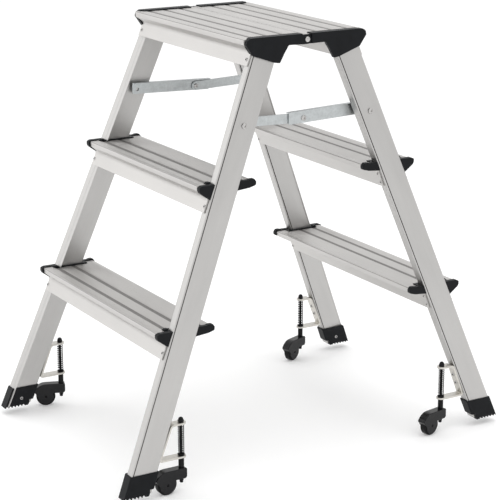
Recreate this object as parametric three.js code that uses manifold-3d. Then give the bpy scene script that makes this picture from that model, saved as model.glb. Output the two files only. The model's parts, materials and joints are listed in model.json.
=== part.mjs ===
// Double-sided folding step ladder on four sprung swivel castors.
//
// Millimetres, +Z up. X runs along the steps and the hinge, +Y from the front frame to the back
// frame. The origin is on the floor under the middle of the ladder, and the castors stand on it.
// Each frame is modelled once, leaning towards -Y; the back frame is the same frame turned half
// a turn about Z. In a frame, side +1 is its +X side and side -1 its -X side.

import * as THREE from 'three';
import { mergeVertices } from 'three/addons/utils/BufferGeometryUtils.js';
import Module from 'manifold-3d';

const wasm = await Module();
wasm.setup();

// ---------------------------------------------------------------- driving dimensions

const GAP = 0.3; // left between pieces that touch
const TRIM = 200; // how far a cutting block runs past what it cuts

const treadTop = 678; // platform surface above the floor
const stepRise = 212; // from one tread to the next
const stepCount = 2; // steps below the platform on each frame
const lean = THREE.MathUtils.degToRad(21.6); // stiles from the vertical, open
const splay = 0.085; // how much each stile moves out in X per unit of height

const stile = {
  topOuterX: 176.5, // outer side face, from the middle, at platform height
  topOuterY: 86, // outer narrow face, from the middle, at platform height
  width: 17, // along X
  depth: 41, // across its narrow faces
  wall: 1.6,
  corner: 2.2,
  minCorner: 0.4, // inside the tube
  grooveFromEdge: 2.2,
  grooveWidth: 1.6,
  grooveDepth: 0.7,
  bottom: 14.8,
};

const tread = {
  wall: 2.2,
  noseOverhang: 23.5, // in front of the stile
  lipOverhang: 26, // behind the stile
  noseHeight: 8.5,
  noseRound: 3,
  undercut: 19, // from the surface to where the undercut meets the riser
  riser: 40, // from the surface to the lower edge of the riser, and of a step's skirt
  skirt: 36.5, // from the surface to the lower edge of the platform's skirt
  lipHeight: 9,
  lipRound: 2.5,
  edgeSlant: 1, // how far nose and lip draw in towards their lower edge
  bandWidth: 9,
  bandDepth: 0.9,
  inset: 3, // step end to the outer side face of the stile
};
const stepBands = [17, 45]; // start of each sunken band, from the nose
const platformBands = [17, 46, 75];
const jointGap = 0.6; // from the middle plane to each platform half
const jointFlange = { height: 13, inset: 3.4 }; // the inner edge folds down and away

const cap = {
  plate: 2.7,
  top: 1.7, // its rim above the tread
  over: 2.5, // past nose and lip
  reach: 3.5, // its flange past the stile's inner face
  chamfer: 3.5,
  shoulder: 1.5, // where the chamfers of nose and lip end, below the surface
  lobeHeight: 20.5,
  lipDepth: 10.5,
};
const endCap = {
  plate: 5.2,
  top: 2,
  over: 1, // past the nose
  chamfer: 11,
  noseTop: [2.5, 2.5], // depth below the surface, distance inwards from the nose
  noseLow: 9,
  underNose: [20, 9.5],
  lobeFront: [25, 14.5],
  lobeTip: 39.5, // depth of the lobe's lowest point below the surface
  lobeReach: 8, // that point past the stile's inner narrow face
  lobeSole: [2, 8], // where the lobe's lower edge starts, above and in front of that point
  lobeBack: [25, 9], // depth below the surface, behind that point
  strapFrom: 17.5, // where the strap starts, behind that point
  strapDepth: 13.6, // lower edge of the strap below the surface
  lugClear: 1.4, // round the lug of the other half
  rebate: 0.3, // how far the platform is cut down under the cap's flange
};
const hinge = { depth: 7, pin: 3, lug: 7.2, head: 4.3, headHeight: 2.2, innerHead: 1.4, headRoom: 1 };

const foot = { sole: 11, height: 46, wall: 2, toe: 5, teeth: 6, toothDepth: 1.6, toothGap: 2 };

const stay = {
  depth: 128, // stile rivets below the platform surface
  middleY: 5, // middle rivet from the middle plane, towards the long strap's stile
  middleDrop: 3.8, // middle rivet below the stile rivets
  thick: 2.4,
  standOff: 5.28, // long strap from the inner side face of the stile
  apart: 0.4, // between the two straps
  half: 7.6, // half the height of a strap
  end: 9.5, // long strap past its rivet on the stile
  overrun: 26.7, // long strap past the middle rivet
  flangeRise: 9.8,
  flangeWidth: 7.6,
  flangeThick: 1.8,
  rivet: 2.6,
  head: 4.6,
  headHeight: 1.8,
  shoulder: 5.2,
};

const castor = {
  past: 6.7, // how far the hood reaches past the stile's face at the lower ear
  strapWidth: 15,
  strap: 3,
  bend: 4,
  lowerEar: 56, // underside of the lower ear
  upperEar: 113, // top of the upper ear
  pin: 2.4,
  stem: 4.5,
  collar: 5.6,
  collarHeight: 3,
  nutRadius: 4.9,
  nutHeight: 7.6,
  nubRadius: 3.5,
  nubHeight: 7.7,
  nubStraight: 1.5,
  springOuter: 5.2,
  springInner: 3.6,
  holeClear: 0.6,
  blockFront: 6.5, // housing in front of the pin
  blockSide: 7.5, // half its width
  blockBottom: 22,
  blockChamfer: 1,
  trail: 27,
  wheel: 16.5,
  wheelShoulder: 1.5,
  wheelFacets: 24,
  wheelHalf: 5.7,
  wheelClear: 1,
  sideClear: 0.35,
  hoodWall: 5,
  hoodFrontAngle: 25,
  cheekInset: 3, // cheek inside the wheel's radius
  axle: 1.8,
};
// rest angle of each castor's trail from the frame's own -Y or +Y, in degrees
const swivelAtRest = { front: { right: 0, left: -20 }, back: { right: 12, left: 22 } };

// ---------------------------------------------------------------- sizes that follow

const slope = Math.tan(lean);
const stileDeep = stile.depth / Math.cos(lean); // measured level
const hingeZ = treadTop - hinge.depth;
const stepTops = Array.from({ length: stepCount }, (_, i) => treadTop - (i + 1) * stepRise);

const outerX = (z) => stile.topOuterX + (treadTop - z) * splay;
const innerX = (z) => outerX(z) - stile.width;
const frontY = (z) => -stile.topOuterY - (treadTop - z) * slope;
const backY = (z) => frontY(z) + stileDeep;
const flangeX = stile.topOuterX - stile.width - cap.reach; // inner edge of the platform caps' flange

const hood = castor.wheel + castor.wheelClear + castor.hoodWall;
const blockTop = castor.wheel + hood;
const pinX = outerX((castor.lowerEar + castor.upperEar) / 2) - stile.width / 2;
const pinY = backY(castor.lowerEar) + castor.trail + hood - castor.past;

// ---------------------------------------------------------------- materials

const anodised = new THREE.MeshStandardMaterial({ color: 0xb9b7b3, roughness: 0.42, metalness: 1 });
const ribbed = new THREE.MeshStandardMaterial({ color: 0xc6c4c0, roughness: 0.48, metalness: 1 });
const zinc = new THREE.MeshStandardMaterial({ color: 0xcfccc4, roughness: 0.35, metalness: 1 });
const blackPlastic = new THREE.MeshStandardMaterial({ color: 0x161618, roughness: 0.5, metalness: 0 });
const glossPlastic = new THREE.MeshStandardMaterial({ color: 0x101012, roughness: 0.22, metalness: 0 });
const blackSteel = new THREE.MeshStandardMaterial({ color: 0x18181a, roughness: 0.35, metalness: 0.8 });
const boltSteel = new THREE.MeshStandardMaterial({ color: 0x9a9a98, roughness: 0.3, metalness: 1 });

// ---------------------------------------------------------------- solids

function solid(geometry) {
  const bare = geometry.clone();
  bare.deleteAttribute('normal');
  bare.deleteAttribute('uv');
  const merged = mergeVertices(bare, 1e-4);
  return new wasm.Manifold(new wasm.Mesh({
    numProp: 3,
    vertProperties: new Float32Array(merged.attributes.position.array),
    triVerts: new Uint32Array(merged.index.array),
  }));
}

function node(name, shape, material) {
  const mesh = shape.getMesh();
  const geometry = new THREE.BufferGeometry();
  geometry.setAttribute('position', new THREE.BufferAttribute(mesh.vertProperties, 3));
  geometry.setIndex(new THREE.BufferAttribute(mesh.triVerts, 1));
  geometry.computeVertexNormals();
  const result = new THREE.Mesh(geometry, material);
  result.name = name;
  return result;
}

function extrude(points, depth) {
  const shape = new THREE.Shape(points.map(([u, v]) => new THREE.Vector2(u, v)));
  return new THREE.ExtrudeGeometry(shape, { depth, bevelEnabled: false });
}

// A [y, z] outline carried along X.
function alongX(points, x0, x1) {
  const turn = new THREE.Matrix4().makeBasis(
    new THREE.Vector3(0, 1, 0), new THREE.Vector3(0, 0, 1), new THREE.Vector3(1, 0, 0));
  return solid(extrude(points, x1 - x0).applyMatrix4(turn).translate(x0, 0, 0));
}

// An [x, y] outline carried up Z.
function alongZ(points, z0, z1) {
  return solid(extrude(points, z1 - z0).translate(0, 0, z0));
}

// A block that leans and splays with the stile on one side: its outline is the one at platform height.
function alongStile(points, z0, z1, side) {
  const shear = new THREE.Matrix4().set(
    1, 0, -splay * side, 0,
    0, 1, slope, 0,
    0, 0, 1, 0,
    0, 0, 0, 1);
  const block = extrude(points, z1 - z0).translate(0, 0, z0 - treadTop);
  return solid(block.applyMatrix4(shear).translate(0, 0, treadTop));
}

// A [radius, height] profile turned about X or Z. It runs from the axis back to the axis, upwards.
function turned(profile, axis, at, segments = 16) {
  const lathe = new THREE.LatheGeometry(profile.map(([r, h]) => new THREE.Vector2(r, h)), segments);
  if (axis === 'x') lathe.rotateZ(-Math.PI / 2);
  else lathe.rotateX(Math.PI / 2);
  return solid(lathe.translate(...at));
}

const rod = (radius, from, to) => [[0, from], [radius, from], [radius, to], [0, to]];

function box(x0, x1, y0, y1, z0, z1) {
  return alongZ(rectangle(x0, x1, y0, y1), z0, z1);
}

function rectangle(x0, x1, y0, y1) {
  return [[x0, y0], [x1, y0], [x1, y1], [x0, y1]];
}

function arc(centre, radius, from, to, steps) {
  return Array.from({ length: steps + 1 }, (_, i) => {
    const angle = THREE.MathUtils.degToRad(from + (to - from) * i / steps);
    return [centre[0] + radius * Math.cos(angle), centre[1] + radius * Math.sin(angle)];
  });
}

// The closed outline of a bent sheet: its outer face follows the path, the wall lies to its right.
function sheet(path, wall) {
  const inner = path.map((point, i) => {
    const before = normalTo(path[Math.max(i - 1, 0)], path[Math.max(i, 1)]);
    const after = normalTo(path[Math.min(i, path.length - 2)], path[Math.min(i + 1, path.length - 1)]);
    const share = wall / (1 + before[0] * after[0] + before[1] * after[1]);
    return [point[0] + share * (before[0] + after[0]), point[1] + share * (before[1] + after[1])];
  });
  return [...path, ...inner.reverse()].reverse();
}

function normalTo(a, b) {
  const length = Math.hypot(b[0] - a[0], b[1] - a[1]);
  return [(b[1] - a[1]) / length, (a[0] - b[0]) / length];
}

// ---------------------------------------------------------------- stiles

// The stile's section at platform height on side +1, grown by a clearance.
function stileBlock(side, clearance, z0, z1) {
  const x1 = stile.topOuterX + clearance;
  const x0 = stile.topOuterX - stile.width - clearance;
  const y0 = -stile.topOuterY - clearance;
  const y1 = y0 + stileDeep + 2 * clearance;
  const outline = side > 0 ? rectangle(x0, x1, y0, y1) : rectangle(-x1, -x0, y0, y1);
  return alongStile(outline, z0, z1, side);
}

function stileSection(side, shrink) {
  const x1 = stile.topOuterX - shrink;
  const x0 = stile.topOuterX - stile.width + shrink;
  const y0 = -stile.topOuterY + shrink;
  const y1 = y0 + stileDeep - 2 * shrink;
  const r = Math.max(stile.corner - shrink, stile.minCorner);
  const corners = [
    [[x0 + r, y0 + r], 180], [[x1 - r, y0 + r], 270], [[x1 - r, y1 - r], 0], [[x0 + r, y1 - r], 90]];
  const outline = corners.flatMap(([centre, from]) => arc(centre, r, from, from + 90, 2));
  return side > 0 ? outline : outline.map(([x, y]) => [-x, y]).reverse();
}

const stileTop = treadTop - tread.wall - tread.bandDepth - GAP;

function makeStile(side) {
  const tube = alongStile(stileSection(side, 0), stile.bottom, stileTop, side)
    .subtract(alongStile(
      stileSection(side, stile.wall), stile.bottom - stile.wall, stileTop + stile.wall, side));
  // all stiles are one section: its +X face has the groove at its -Y edge, its -X face at its +Y edge
  const faces = [stile.topOuterX, stile.topOuterX - stile.width].map((x) => side * x);
  const near = -stile.topOuterY + stile.grooveFromEdge;
  const far = -stile.topOuterY + stileDeep - stile.grooveFromEdge - stile.grooveWidth;
  const grooves = faces.map((face) => {
    const y0 = face === Math.max(...faces) ? near : far;
    const line = rectangle(
      face - stile.grooveDepth, face + stile.grooveDepth, y0, y0 + stile.grooveWidth);
    return alongStile(line, stile.bottom - stile.wall, stileTop + stile.wall, side);
  });
  return grooves.reduce((shape, groove) => shape.subtract(groove), tube)
    .subtract(rivetHole(side * stile.topOuterX, [stayY, stayZ]));
}

// ---------------------------------------------------------------- treads

// The surface of a tread from its nose to its back edge, with its sunken bands.
function surface(top, noseY, bands) {
  return bands.flatMap((start) => {
    const y0 = noseY + start;
    const y1 = y0 + tread.bandWidth;
    return [[y0, top], [y0, top - tread.bandDepth], [y1, top - tread.bandDepth], [y1, top]];
  });
}

// The front of a tread's path: up the riser, out along the undercut, round the nose.
function noseSide(top, noseY) {
  const off = GAP + tread.wall;
  return [
    [frontY(top - tread.riser) - off, top - tread.riser],
    [frontY(top - tread.undercut) - off, top - tread.undercut],
    [noseY + tread.edgeSlant, top - tread.noseHeight],
    ...arc([noseY + tread.noseRound, top - tread.noseRound], tread.noseRound, 180, 90, 2),
  ];
}

function lipSide(top, lipY) {
  const off = GAP + tread.wall;
  return [
    [lipY - tread.lipRound, top],
    [lipY, top - tread.lipRound],
    [lipY - tread.edgeSlant, top - tread.lipHeight],
    [backY(top - tread.lipHeight - tread.edgeSlant) + off, top - tread.lipHeight - tread.edgeSlant],
    [backY(top - tread.riser) + off, top - tread.riser],
  ];
}

const noseOf = (top) => frontY(top) - tread.noseOverhang;
const lipOf = (top) => backY(top) + tread.lipOverhang;

function makeStep(top) {
  const path = [
    ...noseSide(top, noseOf(top)), ...surface(top, noseOf(top), stepBands), ...lipSide(top, lipOf(top))];
  const end = outerX(top) - tread.inset;
  const notch = (side) => {
    const x0 = stile.topOuterX - stile.width - GAP;
    const outline = rectangle(x0, x0 + TRIM, -stile.topOuterY - GAP, -stile.topOuterY + stileDeep + GAP);
    const turnedOutline = side > 0 ? outline : outline.map(([x, y]) => [-x, y]).reverse();
    return alongStile(turnedOutline, top - tread.riser - tread.wall, top + tread.wall, side);
  };
  return alongX(sheet(path, tread.wall), -end, end).subtract(notch(1)).subtract(notch(-1));
}

function makePlatformHalf() {
  const noseY = noseOf(treadTop);
  const path = [
    ...noseSide(treadTop, noseY), ...surface(treadTop, noseY, platformBands),
    [-jointGap, treadTop],
    [-jointGap - jointFlange.inset, treadTop - jointFlange.height],
  ];
  const end = stile.topOuterX;
  // room at each end for the hinge bolt's inner head, and for the flange of the end cap
  const room = (side) => {
    const half = hinge.head + hinge.headRoom;
    const head = turned(rod(half, -half, half), 'x', [side * end, 0, hingeZ], 12);
    const rebate = box(
      flangeX - GAP, end + TRIM, noseY - endCap.over + endCap.chamfer - GAP, TRIM,
      treadTop - endCap.rebate, treadTop + TRIM);
    return head.add(mirrored(rebate, side));
  };
  // the skirt that lies on the inner faces of the stiles
  const low = treadTop - tread.skirt;
  const high = treadTop - tread.wall / 2;
  const skirt = [
    [backY(low) + GAP, low], [backY(low) + GAP + tread.wall, low],
    [backY(high) + GAP + tread.wall, high], [backY(high) + GAP, high]];
  return alongX(sheet(path, tread.wall), -end, end)
    .add(alongX(skirt, -end, end))
    .subtract(room(1)).subtract(room(-1));
}

// ---------------------------------------------------------------- black end caps of the steps

function makeStepCap(top, side) {
  const plate = outerX(top) - tread.inset + GAP;
  const noseY = noseOf(top) - cap.over;
  const lipY = lipOf(top) + cap.over;
  const inFront = (z) => [frontY(z) - GAP, z];
  const behind = (z) => [backY(z) + GAP, z];
  const noseLobe = [
    inFront(top - cap.lobeHeight), inFront(top + cap.top), [noseY + cap.chamfer, top + cap.top],
    [noseY, top - cap.shoulder], [noseY, top - tread.noseHeight + cap.shoulder],
    [noseY + cap.shoulder, top - tread.noseHeight - cap.shoulder],
  ];
  const lipLobe = [
    behind(top + cap.top), behind(top - cap.lipDepth), [lipY - cap.chamfer, top - cap.lipDepth],
    [lipY, top - cap.lipDepth + cap.chamfer], [lipY, top - cap.shoulder],
    [lipY - cap.chamfer, top + cap.top],
  ];
  const flange = box(
    innerX(top) - cap.reach, plate + cap.plate, noseY + cap.chamfer, lipY - cap.chamfer,
    top + GAP, top + cap.top);
  const shape = alongX(noseLobe, plate, plate + cap.plate)
    .add(alongX(lipLobe, plate, plate + cap.plate))
    .add(flange);
  const room = stileBlock(1, GAP, top - tread.riser, top + tread.riser);
  return mirrored(shape.subtract(room), side);
}

// A shape made for side +1, moved to either side.
function mirrored(shape, side) {
  return side > 0 ? shape : shape.mirror([1, 0, 0]);
}

// ---------------------------------------------------------------- hinged end caps of the platform

// layer 1 puts the hinge lug in the outer half of the plate, layer 0 in the inner half.
function makeEndCap(side, layer) {
  const x0 = stile.topOuterX + GAP;
  const x1 = x0 + endCap.plate;
  const middle = (x0 + x1) / 2;
  const noseY = noseOf(treadTop) - endCap.over;
  const lugEnd = -hinge.lug - endCap.lugClear;
  const down = (depth) => treadTop - depth;
  const tipY = backY(down(endCap.lobeTip)) + endCap.lobeReach;
  const face = [
    [lugEnd, treadTop + endCap.top],
    [noseY + endCap.chamfer, treadTop + endCap.top],
    [noseY + endCap.noseTop[1], down(endCap.noseTop[0])],
    [noseY, down(endCap.noseLow)],
    [noseY + endCap.underNose[1], down(endCap.underNose[0])],
    [noseY + endCap.lobeFront[1], down(endCap.lobeFront[0])],
    [tipY - endCap.lobeSole[1], down(endCap.lobeTip - endCap.lobeSole[0])],
    [tipY, down(endCap.lobeTip)],
    [tipY + endCap.lobeBack[1], down(endCap.lobeBack[0])],
    [tipY + endCap.strapFrom, down(endCap.strapDepth)],
    [lugEnd, down(endCap.strapDepth)],
  ].reverse();
  const lugX0 = layer ? middle + GAP / 2 : x0;
  const lugX1 = layer ? x1 : middle - GAP / 2;
  const lug = alongX([
    ...arc([0, hingeZ], hinge.lug, -90, 90, 8),
    [lugEnd - 1, hingeZ + hinge.lug], [lugEnd - 1, hingeZ - hinge.lug]], lugX0, lugX1);
  const flange = box(
    flangeX, x0, noseY + endCap.chamfer, -jointGap - GAP,
    treadTop - endCap.rebate + GAP, treadTop + endCap.top);
  const shape = flange
    .add(alongX(face, x0, x1))
    .add(lug)
    .subtract(stileBlock(1, GAP, down(endCap.lobeTip + stile.width), stileTop + GAP))
    .subtract(turned(rod(hinge.pin + GAP, -TRIM, TRIM), 'x', [x0, 0, hingeZ]));
  return mirrored(shape, side);
}

// The hinge bolt: an inner head, the shank and a flat domed head outside.
function makeBolt(side) {
  const x0 = stile.topOuterX + GAP;
  const x1 = x0 + endCap.plate;
  const inner = x0 - GAP - hinge.innerHead;
  const profile = [
    [0, inner], [hinge.head, inner], [hinge.head, x0 - GAP], [hinge.pin, x0 - GAP],
    [hinge.pin, x1 + GAP], [hinge.head, x1 + GAP], [hinge.head, x1 + GAP + hinge.headHeight * 0.5],
    [hinge.head * 0.6, x1 + GAP + hinge.headHeight], [0, x1 + GAP + hinge.headHeight],
  ];
  return mirrored(turned(profile, 'x', [0, 0, hingeZ]), side);
}

// ---------------------------------------------------------------- feet

function makeFoot(side) {
  const pocket = stileBlock(side, GAP, stile.bottom - GAP, foot.height + foot.wall);
  const back = backY(foot.sole) + foot.wall;
  const middleX = side * (outerX(foot.sole) - stile.width / 2);
  const toe = alongX([
    [back - foot.toe, foot.sole - foot.wall], [back + foot.toe, foot.sole - foot.wall],
    [back + foot.toe, foot.sole + foot.toe]], middleX - TRIM, middleX + TRIM);
  const shape = stileBlock(side, foot.wall, foot.sole, foot.height).subtract(pocket).subtract(toe);
  const length = stileDeep + 2 * foot.wall - foot.toe;
  const pitch = length / foot.teeth;
  const start = frontY(foot.sole) - foot.wall;
  return Array.from({ length: foot.teeth - 1 }, (_, i) => start + (i + 1) * pitch).reduce(
    (body, y) => body.subtract(box(
      middleX - TRIM, middleX + TRIM, y - foot.toothGap / 2, y + foot.toothGap / 2,
      foot.sole - foot.wall, foot.sole + foot.toothDepth)), shape);
}

// ---------------------------------------------------------------- folding stays

const stayZ = treadTop - stay.depth;
const stayY = (frontY(stayZ) + backY(stayZ)) / 2;
const middleZ = stayZ - stay.middleDrop;
const longOuter = innerX(stayZ) - stay.standOff; // outer faces of the long and the short strap
const shortOuter = longOuter - stay.thick - stay.apart;

// An outline between two points of the YZ plane: what is round the first, then the second.
function strapOutline(from, to, before, after) {
  const length = Math.hypot(to[0] - from[0], to[1] - from[1]);
  const along = [(to[0] - from[0]) / length, (to[1] - from[1]) / length];
  const at = (u, v) => [
    from[0] + along[0] * u - along[1] * v, from[1] + along[1] * u + along[0] * v];
  return [...before.map(([u, v]) => at(u, v)), ...after.map(([u, v]) => at(length + u, v))];
}

function makeShortStrap() {
  // pinned to the stile on side +1 and reaching just past the middle rivet
  const from = [stayY, stayZ];
  const to = [stay.middleY, middleZ];
  const rear = arc([0, 0], stay.half, 90, 270, 8);
  const front = arc([0, 0], stay.half, -90, 90, 8);
  return alongX(strapOutline(from, to, rear, front), shortOuter - stay.thick, shortOuter)
    .subtract(rivetHole(shortOuter, from))
    .subtract(rivetHole(shortOuter, to));
}

const rivetHole = (x, at) => turned(rod(stay.rivet + GAP, -TRIM, TRIM), 'x', [x, ...at], 12);

function makeLongStrap() {
  // pinned to the stile on side -1, past the middle rivet, with a flange over the short strap
  const from = [stayY, stayZ];
  const to = [-stay.middleY, middleZ];
  const { end, overrun, flangeRise } = stay;
  const flangeTop = flangeRise + stay.flangeThick;
  const outline = strapOutline(
    from, to, [[-end, flangeTop], [-end, -stay.half]], [[overrun, -stay.half], [overrun, flangeTop]]);
  const ledge = strapOutline(
    from, to, [[-end, flangeTop], [-end, flangeRise]], [[overrun, flangeRise], [overrun, flangeTop]]);
  return alongX(outline, -longOuter, stay.thick - longOuter)
    .add(alongX(ledge, -longOuter, stay.flangeWidth - longOuter))
    .subtract(rivetHole(-longOuter, from))
    .subtract(rivetHole(-longOuter, to));
}

const domed = (x, direction) => [
  [stay.head, x], [stay.head, x + direction * stay.headHeight * 0.5],
  [stay.head * 0.5, x + direction * stay.headHeight], [0, x + direction * stay.headHeight]];

// Holds the two straps together; on side -1, where the long strap is the outer one.
function makeMiddleRivet() {
  const outer = -longOuter - GAP;
  const inner = -shortOuter + stay.thick + GAP;
  const profile = [
    ...domed(outer, -1).reverse(), [stay.rivet, outer], [stay.rivet, inner], ...domed(inner, 1)];
  return turned(profile, 'x', [0, -stay.middleY, middleZ], 12);
}

// Carries the short strap on side +1: outer head, shank through the stile, shoulder, strap, head.
function makeShortStrapRivet() {
  const outside = outerX(stayZ) + stay.head * splay + GAP;
  const inside = innerX(stayZ) - stay.shoulder * splay - GAP;
  const strapInner = shortOuter - stay.thick - GAP;
  const profile = [
    ...domed(strapInner, -1).reverse(),
    [stay.rivet, strapInner], [stay.rivet, shortOuter + GAP],
    [stay.shoulder, shortOuter + GAP], [stay.shoulder, inside], [stay.rivet, inside],
    [stay.rivet, outside], ...domed(outside, 1)];
  return turned(profile, 'x', [0, stayY, stayZ], 12);
}

// The long strap's rivet on side -1. It ends just short of the strap.
function makeLongStrapRivet() {
  const outside = -outerX(stayZ) - stay.head * splay - GAP;
  const inside = -innerX(stayZ) + stay.shoulder * splay + GAP;
  const end = -longOuter - GAP;
  const profile = [
    ...domed(outside, -1).reverse(), [stay.rivet, outside], [stay.rivet, inside],
    [stay.shoulder, inside], [stay.shoulder, end], [0, end]];
  return turned(profile, 'x', [0, stayY, stayZ], 12);
}

// ---------------------------------------------------------------- sprung swivel castors

// The bent steel strap that carries the pin, on side +1.
function makeBracket(side) {
  const { upperEar, lowerEar, bend, strapWidth } = castor;
  const half = strapWidth / 2;
  const earEnd = pinY + half + castor.strap; // trimmed to a round below
  const path = [
    [earEnd, upperEar],
    [backY(upperEar) + GAP + bend, upperEar],
    [backY(upperEar - bend) + GAP, upperEar - bend],
    [backY(lowerEar + bend) + GAP, lowerEar + bend],
    [backY(lowerEar) + GAP + bend, lowerEar],
    [earEnd, lowerEar],
  ].reverse();
  const plan = [
    [pinX - half, pinY], [pinX - half, pinY - TRIM], [pinX + half, pinY - TRIM],
    ...arc([pinX, pinY], half, 0, 180, 8).slice(0, -1)];
  const hole = (radius, ear) => turned(
    rod(radius + castor.holeClear, ear - 2 * castor.strap, ear + 2 * castor.strap),
    'z', [pinX, pinY, 0]);
  const shape = alongX(sheet(path, castor.strap), pinX - half, pinX + half)
    .intersect(alongZ(plan, 0, treadTop))
    .subtract(hole(castor.pin, upperEar))
    .subtract(hole(castor.stem, lowerEar));
  return mirrored(shape, side);
}

// The pieces below stand at the pin's own axis, and trail towards -Y.

const collarZ = castor.lowerEar + castor.strap + GAP;

function makePin() {
  const { pin, stem, collar, nubRadius, blockBottom, upperEar, nutRadius } = castor;
  const nutZ = upperEar + GAP;
  const nubTop = blockBottom - GAP;
  const nubEnd = nubTop - castor.nubHeight;
  const profile = [
    [0, nubEnd], [nubRadius * 0.7, nubEnd], [nubRadius, nubTop - castor.nubStraight],
    [nubRadius, nubTop], [pin, nubTop],
    [pin, blockTop + GAP], [stem, blockTop + GAP], [stem, collarZ], [collar, collarZ],
    [collar, collarZ + castor.collarHeight], [pin, collarZ + castor.collarHeight],
    [pin, nutZ], [nutRadius, nutZ], [nutRadius, nutZ + castor.nutHeight * 0.5],
    [nutRadius * 0.6, nutZ + castor.nutHeight * 0.85], [0, nutZ + castor.nutHeight],
  ];
  return turned(profile, 'z', [0, 0, 0]);
}

function makeSpring() {
  const bottom = collarZ + castor.collarHeight + GAP;
  const top = castor.upperEar - castor.strap - GAP;
  const profile = [
    [castor.springInner, bottom], [castor.springOuter, bottom], [castor.springOuter, top],
    [castor.springInner, top], [castor.springInner, bottom]];
  return turned(profile, 'z', [0, 0, 0]);
}

const axleAt = [-castor.trail, castor.wheel];

function makeHousing() {
  const { blockFront, blockSide, blockBottom, blockChamfer, wheel, axle } = castor;
  const cheek = wheel - castor.cheekInset;
  const rise = THREE.MathUtils.radToDeg(Math.asin((blockBottom - wheel) / cheek));
  const outline = [
    [blockFront, blockBottom], [blockFront, blockTop - blockChamfer],
    [blockFront - blockChamfer, blockTop],
    ...arc(axleAt, hood, 90, 180 - castor.hoodFrontAngle, 7),
    ...arc(axleAt, cheek, 180, 360 + rise, 12),
  ].reverse();
  const half = castor.wheelHalf + castor.sideClear;
  return alongX(outline, -blockSide, blockSide)
    .subtract(turned(
      rod(wheel + castor.wheelClear, -half, half), 'x', [0, ...axleAt], 24))
    .subtract(turned(rod(axle + GAP, -TRIM, TRIM), 'x', [0, ...axleAt], 12))
    .subtract(turned(rod(castor.pin + castor.holeClear, 0, TRIM), 'z', [0, 0, 0]));
}

// A tyre with flat facets, one of them on the floor, on its own stub axle.
function makeWheel() {
  const { wheelHalf, wheelShoulder: shoulder, wheelFacets: facets, blockSide, axle } = castor;
  const radius = castor.wheel / Math.cos(Math.PI / facets);
  const profile = [
    [0, -blockSide], [axle, -blockSide], [axle, -wheelHalf], [radius - shoulder, -wheelHalf],
    [radius, -wheelHalf + shoulder], [radius, wheelHalf - shoulder], [radius - shoulder, wheelHalf],
    [axle, wheelHalf], [axle, blockSide], [0, blockSide],
  ];
  const upright = solid(new THREE.LatheGeometry(
    profile.map(([r, h]) => new THREE.Vector2(r, h)), facets).rotateZ(-Math.PI / 2)
    .rotateX(Math.PI / facets));
  return upright.translate([0, ...axleAt]);
}

function makeCastor(name, side, angle) {
  const group = new THREE.Group();
  group.position.set(side * pinX, pinY, 0);
  const turning = new THREE.Group();
  turning.rotation.z = THREE.MathUtils.degToRad(angle);
  turning.add(
    node(`${name}_castor_housing`, makeHousing(), glossPlastic),
    node(`${name}_castor_wheel`, makeWheel(), blackPlastic));
  group.add(
    turning, node(`${name}_castor_pin`, makePin(), blackSteel),
    node(`${name}_castor_spring`, makeSpring(), blackSteel));
  return group;
}

// ---------------------------------------------------------------- assembly

const stepNames = ['middle', 'bottom'];

function makeFrame(frameName) {
  const frame = new THREE.Group();
  const turnedRound = frameName === 'back';
  if (turnedRound) frame.rotation.z = Math.PI;
  frame.add(node(`${frameName}_platform_half`, makePlatformHalf(), ribbed));
  stepTops.forEach((top, i) => {
    frame.add(node(`${frameName}_${stepNames[i]}_step`, makeStep(top), ribbed));
  });
  for (const side of [1, -1]) {
    const sideName = (side > 0) === turnedRound ? 'left' : 'right';
    const name = `${frameName}_${sideName}`;
    frame.add(
      node(`${name}_stile`, makeStile(side), anodised),
      node(`${name}_foot`, makeFoot(side), blackPlastic),
      node(`${name}_platform_cap`, makeEndCap(side, side > 0 ? 1 : 0), blackPlastic),
      node(`${name}_castor_bracket`, makeBracket(side), zinc));
    stepTops.forEach((top, i) => {
      frame.add(node(`${name}_${stepNames[i]}_cap`, makeStepCap(top, side), blackPlastic));
    });
    const towards = turnedRound ? 180 : 0;
    frame.add(makeCastor(name, side, swivelAtRest[frameName][sideName] + towards));
    if (side > 0) {
      frame.add(
        node(`${name}_short_strap`, makeShortStrap(), zinc),
        node(`${name}_short_strap_rivet`, makeShortStrapRivet(), boltSteel),
        node(`${sideName}_hinge_bolt`, makeBolt(side), boltSteel));
    } else {
      frame.add(
        node(`${name}_long_strap`, makeLongStrap(), zinc),
        node(`${name}_long_strap_rivet`, makeLongStrapRivet(), boltSteel),
        node(`${sideName}_middle_rivet`, makeMiddleRivet(), boltSteel));
    }
  }
  return frame;
}

const group = new THREE.Group();
group.add(makeFrame('front'), makeFrame('back'));

export default group;
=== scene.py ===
import json
import math

import bmesh
import bpy
from bpy.props import FloatProperty, FloatVectorProperty, IntProperty, PointerProperty
from mathutils import Matrix, Vector


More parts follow.
